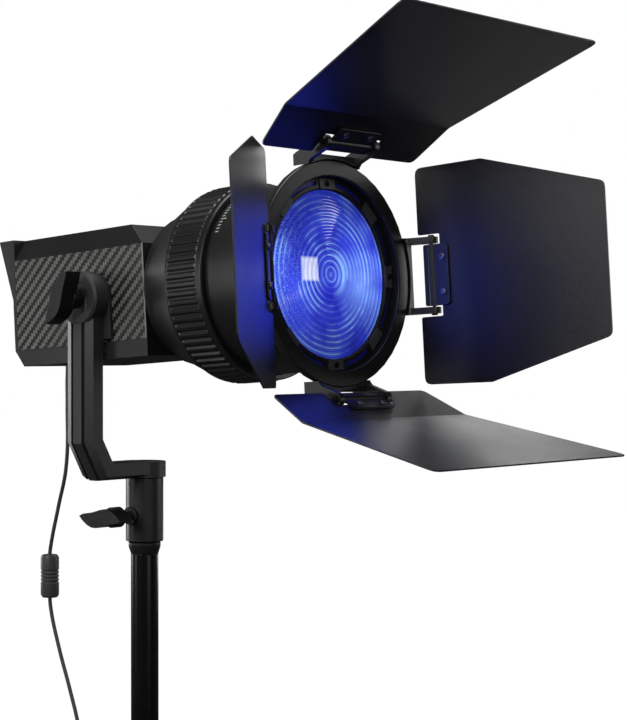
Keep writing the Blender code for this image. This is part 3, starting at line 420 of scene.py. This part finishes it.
def turned(profile, steps=48):
    """A profile of (radius, height) turned about Z."""
    shape = bmesh.new()
    rings = []
    for radius, height in profile:
        if radius == 0:
            rings.append([shape.verts.new((0, 0, height))])
            continue
        ring = []
        for k in range(steps):
            turn = 2 * math.pi * k / steps
            ring.append(shape.verts.new((radius * math.cos(turn), radius * math.sin(turn), height)))
        rings.append(ring)
    for low, high in zip(rings, rings[1:]):
        for k in range(steps):
            n = (k + 1) % steps
            corners = [low[k % len(low)], low[n % len(low)], high[n % len(high)], high[k % len(high)]]
            unique = list(dict.fromkeys(corners))
            if len(unique) > 2:
                shape.faces.new(unique)
    return shape


def pan_head(radius, height, socket_radius, socket_depth):
    """A screw head with a rounded rim and a six-sided socket."""
    rim = radius * 0.16
    shape = turned(
        [
            (0, 0), (radius, 0), (radius, height - rim), (radius - rim * 0.3, height - rim * 0.3),
            (radius - rim, height), (socket_radius * 1.12, height), (socket_radius, height - rim * 0.5),
            (socket_radius, height - socket_depth), (0, height - socket_depth),
        ],
        24,
    )
    return shape


def join(shapes):
    """One shape from several, which are used up."""
    whole = bmesh.new()
    for shape in shapes:
        mesh = bpy.data.meshes.new("part_of_piece")
        shape.to_mesh(mesh)
        shape.free()
        whole.from_mesh(mesh)
        bpy.data.meshes.remove(mesh)
    return whole


EDGE_ROUNDING = {
    0.0005: [
        "housing_shell", "rear_cap", "adapter_cone", "barn_ring", "lens_barrel", "yoke_socket",
        "tilt_bracket",
    ],
    0.0007: ["yoke_arm", "socket_knob", "tilt_knob"],
    0.0002: ["zoom_ring", "lens_retainer", "mount_latch", "dimmer_dial", "colour_dial", "power_switch"],
}
for width, names in EDGE_ROUNDING.items():
    for name in names:
        soften(name, width)
for name in ("post_tube", "spigot_stud", "ferrite_bead", "cable_coupler"):
    soften(name, 0.0002, 40.0)
for side in TURN:
    soften(f"hinge_bracket_{side}", 0.0003)
    soften(f"hinge_plate_{side}", 0.0003)


# ---- fresnel lens -------------------------------------------------------------------------------

LENS_RINGS = 26
LENS_BACK, LENS_FRONT, LENS_CROWN = 0.1525, GLASS_EDGE - 0.0006, 0.0030
lens_profile = [(0, LENS_BACK), (0.0574, LENS_BACK), (0.0574, LENS_FRONT), (GLASS_RADIUS, LENS_FRONT)]
for k in range(LENS_RINGS, 0, -1):
    ring_outer = GLASS_RADIUS * k / LENS_RINGS
    ring_inner = GLASS_RADIUS * (k - 1) / LENS_RINGS
    crest = LENS_FRONT + LENS_CROWN * (1 - (ring_inner / GLASS_RADIUS) ** 2)
    lens_profile.append((ring_outer - 0.0002, crest - 0.0008))
    lens_profile.append((ring_outer * 0.5 + ring_inner * 0.5, crest - 0.0003))
    lens_profile.append((ring_inner, crest))
lens_shape = turned(lens_profile, 128)
lens = piece("stepped_lens", lens_shape, AXIS @ BEAM, "glass", "lens_barrel")
smooth_by_angle(lens, 30.0)
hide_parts("fresnel_lens")


# ---- lens ring: tabs, screws and lit slots ------------------------------------------------------

TAB_SPREAD = math.radians(7.0)
TAB_INNER, TAB_OUTER = 0.0558, 0.0624
TAB_LOW, TAB_HIGH = GLASS_EDGE + 0.0020, GLASS_EDGE + 0.0029
SLOT_SPREAD = math.radians(12.5)
SLOT_RADII = (0.0584, 0.0609)
SLOT_STEPS = 8

tabs, screws, glow = [], [], []
for eighth in range(8):
    turn = Matrix.Rotation(math.radians(45 * eighth), 4, "Z")
    tab = bmesh.new()
    outline = (
        (TAB_INNER, -TAB_SPREAD), (TAB_OUTER, -TAB_SPREAD), (TAB_OUTER, TAB_SPREAD), (TAB_INNER, TAB_SPREAD),
    )
    corners = []
    for height in (TAB_LOW, TAB_HIGH):
        for radius, angle in outline:
            corners.append(tab.verts.new((radius * math.cos(angle), radius * math.sin(angle), height)))
    for face in ((0, 1, 2, 3), (4, 5, 6, 7), (0, 1, 5, 4), (1, 2, 6, 5), (2, 3, 7, 6), (3, 0, 4, 7)):
        tab.faces.new([corners[i] for i in face])
    tab.transform(turn)
    tabs.append(tab)
    if eighth % 2 == 0:
        head = pan_head(0.0019, 0.0011, 0.0009, 0.0007)
        head.transform(turn @ Matrix.Translation((LENS_SCREW_RADIUS, 0, TAB_HIGH)))
        screws.append(head)
for eighth in range(8):
    strip = bmesh.new()
    middle = math.radians(22.5 + 45 * eighth)
    rows = []
    for k in range(SLOT_STEPS + 1):
        angle = middle + SLOT_SPREAD * (2 * k / SLOT_STEPS - 1)
        rows.append(
            [
                strip.verts.new((r * math.cos(angle), r * math.sin(angle), GLASS_EDGE + 0.0009))
                for r in SLOT_RADII
            ]
        )
    for a, b in zip(rows, rows[1:]):
        strip.faces.new([a[0], b[0], b[1], a[1]])
    glow.append(strip)
piece("lens_ring_tabs", join(tabs), AXIS @ BEAM, "tab", "lens_barrel")
ring_screws = piece("lens_ring_screws", join(screws), AXIS @ BEAM, "dark_steel", "lens_barrel")
smooth_by_angle(ring_screws)
piece("lens_ring_lit_slots", join(glow), AXIS @ BEAM, "slot_glow", "lens_barrel")


# ---- hinge-plate screws -------------------------------------------------------------------------


def door_matrix(side):
    """Local X along the hinge, -Y along the leaf, +Z on its outer side."""
    return (
        AXIS
        @ Matrix.Rotation(math.radians(TURN[side]), 4, "Y")
        @ Matrix.Translation((0, -HINGE_FORWARD, HINGE_RADIUS))
        @ Matrix.Rotation(-math.radians(OPENING[side]), 4, "X")
    )


for side in TURN:
    heads = []
    for sign in (-1, 1):
        head = pan_head(0.0023, 0.0012, 0.0011, 0.0008)
        place = Matrix.Translation((sign * PLATE_SCREW_SPACING / 2, -0.0085, -0.0014))
        head.transform(place @ Matrix.Rotation(math.pi, 4, "X"))
        heads.append(head)
    place = door_matrix(side)
    made = piece(f"hinge_screws_{side}", join(heads), place, "steel", f"door_{side}")
    smooth_by_angle(made)


# ---- barrel scale -------------------------------------------------------------------------------

MARK_COUNT = 15
MARK_HALF_WIDTH = 0.00028
MARK_RADIUS = 0.0621
MARK_START = 0.1085
MARK_SPACING = 2.4  # degrees round the barrel
SCALE_MIDDLE = 134  # degrees round the barrel, on the camera's side

marks = []
for k in range(MARK_COUNT):
    tick = bmesh.new()
    length = 0.0050 if k % 5 == 0 else 0.0028
    angle = math.radians(SCALE_MIDDLE + MARK_SPACING * (k - MARK_COUNT // 2))
    corners = []
    for offset in (-MARK_HALF_WIDTH, MARK_HALF_WIDTH):
        at = angle + offset / MARK_RADIUS
        for forward in (MARK_START, MARK_START + length):
            corner = (MARK_RADIUS * math.cos(at), MARK_RADIUS * math.sin(at), forward)
            corners.append(tick.verts.new(corner))
    tick.faces.new([corners[0], corners[1], corners[3], corners[2]])
    marks.append(tick)
piece("barrel_scale_marks", join(marks), AXIS @ BEAM, "mark", "lens_barrel")


# ---- power cable --------------------------------------------------------------------------------

# (rearwards, height) of the lead from the plug on the head down to its coupler
LEAD_X = HEAD_X + 0.036
LEAD_RADIUS = 0.0015
LEAD_PATH = [
    (0.1056, PIVOT_Z - 0.0210), (0.1120, PIVOT_Z - 0.0214), (0.1185, PIVOT_Z - 0.0248),
    (0.1232, PIVOT_Z - 0.0350), (0.1255, PIVOT_Z - 0.0560), (0.1255, 0.2847), (0.1270, 0.2347),
    (0.1360, 0.2037), (0.1445, 0.1747), (0.1460, 0.1667), (0.1460, 0.1327),
    (0.1450, 0.1247), (0.1360, 0.0967), (0.1230, 0.0647), (0.1140, 0.0407), (0.1110, 0.0287),
]
lead_curve = bpy.data.curves.new("bending_cable_line", "CURVE")
lead_curve.dimensions = "3D"
lead_curve.bevel_depth = LEAD_RADIUS
lead_curve.bevel_resolution = 4
lead_curve.resolution_u = 10
lead_curve.use_fill_caps = True
line = lead_curve.splines.new("BEZIER")
line.bezier_points.add(len(LEAD_PATH) - 1)
for point, (rearwards, height) in zip(line.bezier_points, LEAD_PATH):
    point.co = (LEAD_X, rearwards, height)
    point.handle_left_type = point.handle_right_type = "AUTO"
guide = bpy.data.objects.new("bending_cable_guide", lead_curve)
bpy.context.scene.collection.objects.link(guide)
bpy.context.view_layer.update()
graph = bpy.context.evaluated_depsgraph_get()
cable_mesh = bpy.data.meshes.new_from_object(guide.evaluated_get(graph))
bpy.data.objects.remove(guide)
cable_mesh.materials.clear()
cable_mesh.materials.append(finish["rubber"])
cable = bpy.data.objects.new("bending_cable", cable_mesh)
bpy.context.scene.collection.objects.link(cable)
smooth_by_angle(cable)
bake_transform(cable)
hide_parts("power_cable")


# ---- painted highlight along the front edge beside the woven panels -----------------------------

STRIP_SIZE = (0.0006, 0.0011, 0.0645)
STRIP_AT = (0.0502, -0.0361, 0.0040)

strips = []
for side in (-1, 1):
    strip = bmesh.new()
    bmesh.ops.create_cube(strip, size=1)
    place = Matrix.Translation((side * STRIP_AT[0], STRIP_AT[1], STRIP_AT[2]))
    strip.transform(place @ Matrix.Diagonal((*STRIP_SIZE, 1)))
    bmesh.ops.bevel(strip, geom=strip.edges, offset=0.0002, segments=2, affect="EDGES", profile=0.5)
    strips.append(strip)
piece("panel_front_edge_highlight", join(strips), HEAD, "edge_highlight_paint", "head")


# ---- stage, light and camera --------------------------------------------------------------------


def softbox(name, at, aim, size, power, colour=(1, 1, 1), shape="RECTANGLE", height=None):
    data = bpy.data.lights.new(name, "AREA")
    data.shape = shape
    data.size = size
    data.size_y = height or size
    data.energy = power
    data.color = colour
    made = bpy.data.objects.new(name, data)
    made.location = at
    made.rotation_euler = (Vector(aim) - Vector(at)).to_track_quat("-Z", "Y").to_euler()
    bpy.context.scene.collection.objects.link(made)
    return made


middle = (0, -0.08, 0.36)
softbox("key_from_left", (-1.7, -0.2, 1.05), middle, 0.9, 21, height=1.2)
softbox("top_bank", (0.2, -0.1, 1.9), middle, 1.3, 26)
softbox("front_square", (-1.05, -1.55, 0.62), middle, 0.34, 3.0)
softbox("right_rim", (1.5, -0.9, 0.75), middle, 0.6, 8, height=1.2)
softbox("low_front", (-0.2, -1.6, -0.2), middle, 0.8, 3)
# these stand where the doors mirror them into the camera, the last one below the floor plane
softbox("bottom_leaf_sheen", (1.26, 0.54, 0.70), (0.06, -0.25, 0.275), 0.46, 0.75)
softbox("left_leaf_sheen", (1.22, 0.46, 0.66), (-0.121, -0.217, 0.43), 0.20, 0.22)
softbox("top_leaf_sheen", (1.18, 0.17, -0.33), (0.0, -0.25, 0.49), 0.9, 6.5)
softbox("left_rear_strip", (-1.35, 0.85, 0.30), middle, 0.45, 3.8, height=1.3)
softbox("back_fill", (-0.25, 1.8, 0.15), middle, 0.8, 12)

glass_middle = AXIS @ Vector((0, -0.162, 0))
glass_ahead = AXIS @ Vector((0, -1.0, 0))
beam_light = softbox("lens_glow", glass_middle, glass_ahead, 0.10, 0.040, (0.02, 0.03, 1.0), "DISK")
beam_light.visible_camera = False
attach(beam_light, "lens_barrel")

# the camera sees a white room, and the lamp's black surfaces reflect a dim one
world = bpy.data.worlds.new("pale_studio")
world.use_nodes = True
tree = world.node_tree
background = tree.nodes["Background"]
background.inputs["Color"].default_value = (1, 1, 1, 1)
seen = tree.nodes.new("ShaderNodeLightPath")
strength = tree.nodes.new("ShaderNodeMapRange")
strength.inputs["To Min"].default_value = 0.045
strength.inputs["To Max"].default_value = 1.0
tree.links.new(seen.outputs["Is Camera Ray"], strength.inputs["Value"])
tree.links.new(strength.outputs["Result"], background.inputs["Strength"])
bpy.context.scene.world = world

floor_shape = bmesh.new()
bmesh.ops.create_grid(floor_shape, x_segments=1, y_segments=1, size=6)
floor_mesh = bpy.data.meshes.new("pale_floor")
floor_shape.to_mesh(floor_mesh)
floor_shape.free()
floor = bpy.data.objects.new("pale_floor", floor_mesh)
floor.location = (0, 0, -0.004)
bpy.context.scene.collection.objects.link(floor)
pale = Nodes("pale_floor_paint")
pale.shader.inputs["Base Color"].default_value = (0.04, 0.04, 0.04, 1)
pale.shader.inputs["Roughness"].default_value = 0.9
pale.shader.inputs["Specular IOR Level"].default_value = 0.0
pale.shader.inputs["Emission Color"].default_value = (1, 1, 1, 1)
# pale to the camera only, so that it throws no light up at the lamp
camera_ray = pale.add("ShaderNodeLightPath").outputs["Is Camera Ray"]
pale.link(camera_ray, pale.shader.inputs["Emission Strength"])
floor_mesh.materials.append(pale.material)

camera_data = bpy.data.cameras.new("camera")
camera_data.lens = CAMERA_LENS
camera_data.sensor_width = 36
camera_data.sensor_fit = "AUTO"
camera = bpy.data.objects.new("camera", camera_data)
camera.location = CAMERA_AT
look = Vector(
    (
        math.sin(CAMERA_AZIMUTH) * math.cos(CAMERA_PITCH),
        math.cos(CAMERA_AZIMUTH) * math.cos(CAMERA_PITCH),
        math.sin(CAMERA_PITCH),
    )
)
camera.rotation_euler = look.to_track_quat("-Z", "Y").to_euler()
bpy.context.scene.collection.objects.link(camera)
bpy.context.scene.camera = camera
bpy.context.scene.view_settings.view_transform = "Standard"
